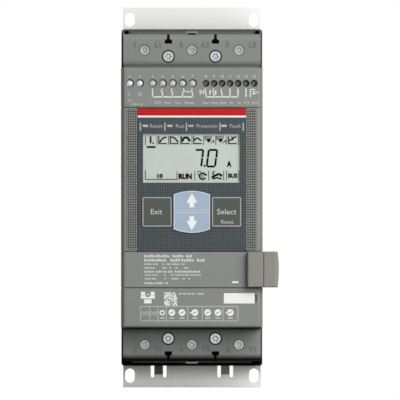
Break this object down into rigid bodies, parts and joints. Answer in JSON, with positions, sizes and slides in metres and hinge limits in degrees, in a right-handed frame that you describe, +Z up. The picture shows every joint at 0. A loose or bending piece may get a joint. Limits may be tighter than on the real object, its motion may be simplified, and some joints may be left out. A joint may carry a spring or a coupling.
{
  "type": "soft starter",
  "caption": "Wall-mounted motor soft starter: grey housing on a slotted steel plate, display and keys in front, screwed terminal covers above and below, plug-in bus adapter at the side.",
  "frame": {"origin": "middle of the mounting plate's back face, on the wall", "axes": "+Z up the wall, +Y into the wall, +X to the right seen from the front"},
  "size_m": [0.1003, 0.1846, 0.245],
  "materials": {
    "plate_steel": "zinc-plated sheet",
    "screw_zinc": "zinc-plated",
    "clamp_zinc": "zinc-plated",
    "sink_aluminium": "extruded, plain",
    "body_plastic": "fine spark-eroded texture",
    "cover_plastic": "fine spark-eroded texture",
    "black_plastic": "satin",
    "busbar_copper": "plain copper",
    "sensor_plastic": "satin",
    "relay_plastic": "satin",
    "board_laminate": "solder mask",
    "ribbon_plastic": "satin",
    "lcd_frame": "reflective display",
    "panel_plastic": "finely ribbed",
    "strip_red": "printed film",
    "window_clear": "clear",
    "light_clear": "clear moulding",
    "key_dark": "satin",
    "key_blue": "satin",
    "block_plastic": "satin",
    "plug_plastic": "satin",
    "tag_white": "write-on"
  },
  "bodies": {
    "housing": {"mounting_plate": "plate_steel", "plate_screws": "screw_zinc", "module_screws": "screw_zinc", "clamp_screws": "screw_zinc", "power_board_screws": "screw_zinc", "cover_screws": "screw_zinc", "control_board_screws": "screw_zinc", "supply_terminal_screws": "screw_zinc", "relay_terminal_screws": "screw_zinc", "input_terminal_screws": "screw_zinc", "line_clamp_left": "clamp_zinc", "line_clamp_middle": "clamp_zinc", "line_clamp_right": "clamp_zinc", "load_clamp_left": "clamp_zinc", "load_clamp_middle": "clamp_zinc", "load_clamp_right": "clamp_zinc", "heat_sink": "sink_aluminium", "base_housing": "body_plastic", "front_housing": "body_plastic", "upper_terminal_cover": "cover_plastic", "lower_terminal_cover": "cover_plastic", "fan_frame": "black_plastic", "thyristor_module_left": "black_plastic", "thyristor_module_right": "black_plastic", "key_switches": "black_plastic", "fieldbus_socket": "black_plastic", "line_busbar_left": "busbar_copper", "line_busbar_right": "busbar_copper", "load_busbar_left": "busbar_copper", "load_busbar_right": "busbar_copper", "through_busbar": "busbar_copper", "current_sensor_left": "sensor_plastic", "current_sensor_right": "sensor_plastic", "bypass_relay_left": "relay_plastic", "bypass_relay_right": "relay_plastic", "power_board": "board_laminate", "control_board": "board_laminate", "board_ribbon": "ribbon_plastic", "lcd_module": "lcd_frame", "control_panel": "panel_plastic", "header_strip": "strip_red", "display_window": "window_clear", "status_light_pipes": "light_clear", "supply_terminal_block": "block_plastic", "relay_terminal_block": "block_plastic", "input_terminal_block": "block_plastic", "name_tag": "tag_white"},
    "exit_key": {"exit_key": "key_dark"},
    "select_key": {"select_key": "key_dark"},
    "up_key": {"up_key": "key_blue"},
    "down_key": {"down_key": "key_blue"},
    "fan_rotor": {"fan_rotor": "black_plastic"},
    "fieldbus_plug": {"fieldbus_plug": "plug_plastic"}
  },
  "joints": [
    {"name": "exit_key_press", "type": "slide", "parent": "housing", "child": "exit_key", "axis": [0, 1, 0], "range_m": [0, 0.0008], "stiffness_N_per_m": 300, "springref_m": -0.003},
    {"name": "select_key_press", "type": "slide", "parent": "housing", "child": "select_key", "axis": [0, 1, 0], "range_m": [0, 0.0008], "stiffness_N_per_m": 300, "springref_m": -0.003},
    {"name": "up_key_press", "type": "slide", "parent": "housing", "child": "up_key", "axis": [0, 1, 0], "range_m": [0, 0.0008], "stiffness_N_per_m": 300, "springref_m": -0.003},
    {"name": "down_key_press", "type": "slide", "parent": "housing", "child": "down_key", "axis": [0, 1, 0], "range_m": [0, 0.0008], "stiffness_N_per_m": 300, "springref_m": -0.003},
    {"name": "fan_spin", "type": "hinge", "parent": "housing", "child": "fan_rotor", "pos_m": [0, -0.0329, -0.095], "axis": [0, 0, 1], "continuous": true},
    {"name": "fieldbus_plug_pull", "type": "slide", "parent": "housing", "child": "fieldbus_plug", "axis": [0, -1, 0], "range_m": [0, 0.009]}
  ]
}
